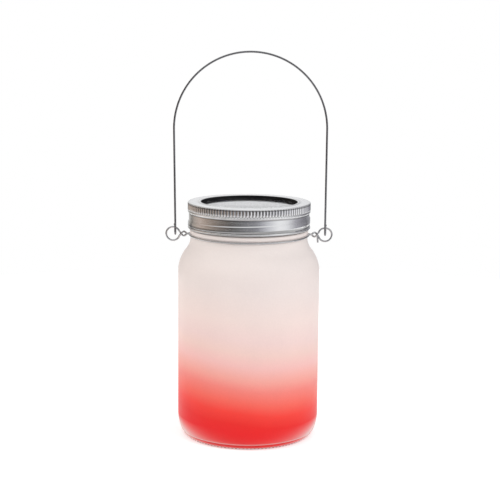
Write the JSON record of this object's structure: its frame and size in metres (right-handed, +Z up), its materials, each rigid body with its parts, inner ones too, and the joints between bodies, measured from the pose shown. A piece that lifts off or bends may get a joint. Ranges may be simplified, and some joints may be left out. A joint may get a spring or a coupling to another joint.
{
  "type": "mason jar lantern",
  "caption": "Frosted glass jar lantern with a screw-on solar light lid, a twisted neck wire with an eye at each side and a swinging wire bail to carry or hang it.",
  "frame": {"origin": "centre of the jar's base, on the surface it stands on", "axes": "+Z up along the jar's axis; X runs through the two wire eyes, along the line the bail swings about; -Y is the front"},
  "size_m": [0.0992, 0.084, 0.2285],
  "materials": {
    "frosted_glass": "frosted, warm white fading to red at the base",
    "wire_steel": "drawn steel wire, slightly dull",
    "bail_steel": "drawn steel wire, smooth",
    "band_steel": "satin tinned steel",
    "silicone": "translucent white silicone",
    "black_plastic": "fine-textured black moulding",
    "clear_plastic": "clear, polished",
    "solar_blue": "dark blue silicon with silver lines",
    "red_lead": "insulated lead",
    "black_lead": "insulated lead",
    "screw_steel": "zinc plated",
    "battery_wrap": "shrink-wrapped sleeve",
    "contact_nickel": "nickel plated spring steel",
    "board_green": "solder mask",
    "chip_black": "moulded package",
    "choke_green": "lacquered body with colour rings",
    "led_clear": "clear epoxy lens",
    "switch_steel": "tinned steel can",
    "slider_white": "moulded nylon"
  },
  "bodies": {
    "jar": {"glass_jar": "frosted_glass", "neck_wire": "wire_steel"},
    "bail": {"bail": "bail_steel"},
    "seal": {"seal_ring": "silicone"},
    "insert": {"insert_housing": "black_plastic", "clear_cover": "clear_plastic", "solar_cell": "solar_blue", "solar_lead_red": "red_lead", "solar_lead_black": "black_lead", "bottom_cover": "black_plastic", "cover_screws": "screw_steel", "battery": "battery_wrap", "plus_contact": "contact_nickel", "minus_spring": "contact_nickel", "battery_lead_red": "red_lead", "battery_lead_black": "black_lead", "circuit_board": "board_green", "driver_chip": "chip_black", "coil_choke": "choke_green", "led": "led_clear", "switch_body": "switch_steel"},
    "band": {"screw_band": "band_steel"},
    "door": {"battery_door": "black_plastic"},
    "slider": {"switch_slider": "slider_white"}
  },
  "joints": [
    {"name": "bail_swing", "type": "hinge", "parent": "jar", "child": "bail", "pos_m": [0, 0, 0.12488], "axis": [1, 0, 0], "range_deg": [-152, 152]},
    {"name": "lid_lift", "type": "slide", "parent": "jar", "child": "seal", "axis": [0, 0, 1], "range_m": [0, 0.045]},
    {"name": "thread_rise", "type": "slide", "parent": "seal", "child": "insert", "axis": [0, 0, 1], "range_m": [0, 0.00635]},
    {"name": "band_turn", "type": "hinge", "parent": "insert", "child": "band", "pos_m": [0, 0, 0.13738], "axis": [0, 0, 1], "range_deg": [0, 450]},
    {"name": "door_hinge", "type": "hinge", "parent": "insert", "child": "door", "pos_m": [-0.0227, 0.0045, 0.12228], "axis": [0, 1, 0], "range_deg": [0, 90]},
    {"name": "switch_slide", "type": "slide", "parent": "insert", "child": "slider", "axis": [1, 0, 0], "range_m": [0, 0.002]}
  ],
  "couplings": [
    {"joint": "thread_rise", "follows": "band_turn", "m_per_rad": 0.00080851}
  ]
}
